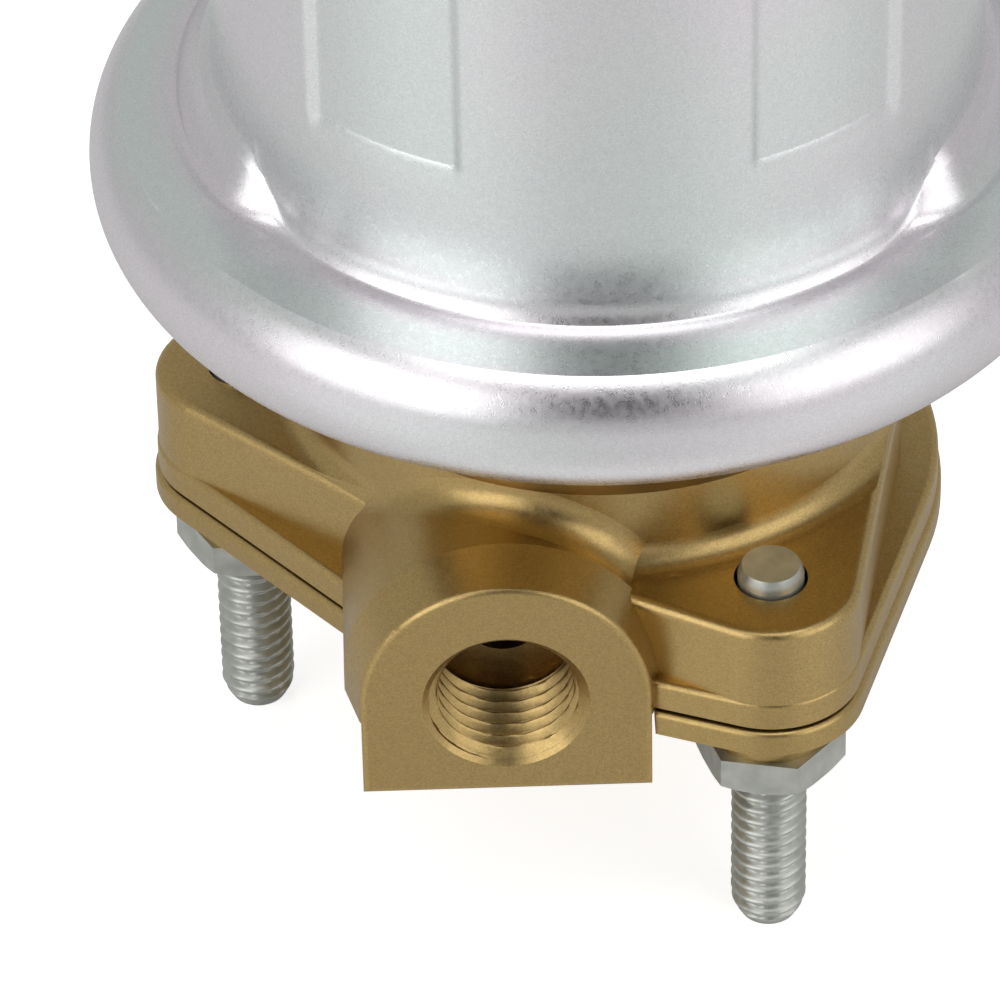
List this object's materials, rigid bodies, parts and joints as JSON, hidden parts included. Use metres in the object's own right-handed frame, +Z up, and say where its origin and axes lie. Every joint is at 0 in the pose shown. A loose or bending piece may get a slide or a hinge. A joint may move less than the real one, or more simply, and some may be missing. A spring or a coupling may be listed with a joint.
{
  "type": "fuel transfer pump",
  "caption": "Electric rotary-vane fuel pump: round motor can crimped on a lobed cast pump body with threaded ports, a lobed cover plate, and long mounting studs with nuts.",
  "frame": {"origin": "centre of the stud circle on the plane of the stud tips, which is also on the motor axis", "axes": "+Z up along the motor axis, from the studs to the can top; -Y out of the front port; +X to the right, seen from the front"},
  "size_m": [0.084, 0.084, 0.152],
  "materials": {
    "can_silver": "satin silver plating with fine sparkle",
    "cast_gold": "satin gold-bronze coat with fine metallic grain",
    "plate_gold": "satin gold-bronze coat",
    "zinc_steel": "bright zinc plate",
    "dark_steel": "plain ground steel",
    "lamination": "varnished steel laminations",
    "copper": "enamelled copper wire",
    "comm_copper": "turned copper",
    "bronze": "sintered bronze",
    "ferrite": "matt ferrite",
    "carbon": "matt carbon",
    "insulation": "matt moulded resin",
    "gasket": "matt gasket sheet",
    "seal_rubber": "matt rubber"
  },
  "bodies": {
    "housing": {"pump_casting": "cast_gold", "motor_can": "can_silver", "can_seal_ring": "seal_rubber", "magnet_left": "ferrite", "magnet_right": "ferrite", "magnet_clips": "dark_steel", "brush_spring_left": "dark_steel", "brush_spring_right": "dark_steel", "brush_card": "insulation", "upper_bush": "bronze", "lower_bush": "bronze", "shaft_seal": "seal_rubber", "terminal_insulators": "insulation", "terminal_studs": "zinc_steel", "terminal_nuts": "zinc_steel", "cam_ring": "dark_steel", "cover_plate": "plate_gold", "cover_gasket": "gasket", "relief_spring": "dark_steel", "relief_plug": "dark_steel", "mounting_studs": "zinc_steel", "stud_nuts": "zinc_steel"},
    "armature": {"armature_shaft": "dark_steel", "armature_core": "lamination", "armature_winding": "copper", "commutator": "comm_copper", "thrust_washers": "dark_steel", "pump_rotor": "dark_steel"},
    "vane_1": {"vane_1": "carbon"},
    "vane_2": {"vane_2": "carbon"},
    "vane_3": {"vane_3": "carbon"},
    "vane_4": {"vane_4": "carbon"},
    "brush_left": {"brush_left": "carbon"},
    "brush_right": {"brush_right": "carbon"},
    "relief_ball": {"relief_ball": "dark_steel"}
  },
  "joints": [
    {"name": "armature_spin", "type": "hinge", "parent": "housing", "child": "armature", "pos_m": [0, 0, 0.08], "axis": [0, 0, 1], "continuous": true},
    {"name": "vane_1_slide", "type": "slide", "parent": "armature", "child": "vane_1", "axis": [0, 1, 0], "range_m": [0, 0.0016]},
    {"name": "vane_2_slide", "type": "slide", "parent": "armature", "child": "vane_2", "axis": [1, 0, 0], "range_m": [-0.0016, 0]},
    {"name": "vane_3_slide", "type": "slide", "parent": "armature", "child": "vane_3", "axis": [0, -1, 0], "range_m": [0, 0.0016]},
    {"name": "vane_4_slide", "type": "slide", "parent": "armature", "child": "vane_4", "axis": [1, 0, 0], "range_m": [0, 0.0001]},
    {"name": "brush_left_slide", "type": "slide", "parent": "housing", "child": "brush_left", "axis": [-1, 0, 0], "range_m": [0, 0.003], "stiffness_N_per_m": 150, "springref_m": -0.003, "deforming": ["brush_spring_left"]},
    {"name": "brush_right_slide", "type": "slide", "parent": "housing", "child": "brush_right", "axis": [1, 0, 0], "range_m": [0, 0.003], "stiffness_N_per_m": 150, "springref_m": -0.003, "deforming": ["brush_spring_right"]},
    {"name": "relief_ball_lift", "type": "slide", "parent": "housing", "child": "relief_ball", "axis": [0, 0, 1], "range_m": [0, 0.002], "stiffness_N_per_m": 300, "springref_m": -0.0035, "deforming": ["relief_spring"]}
  ]
}
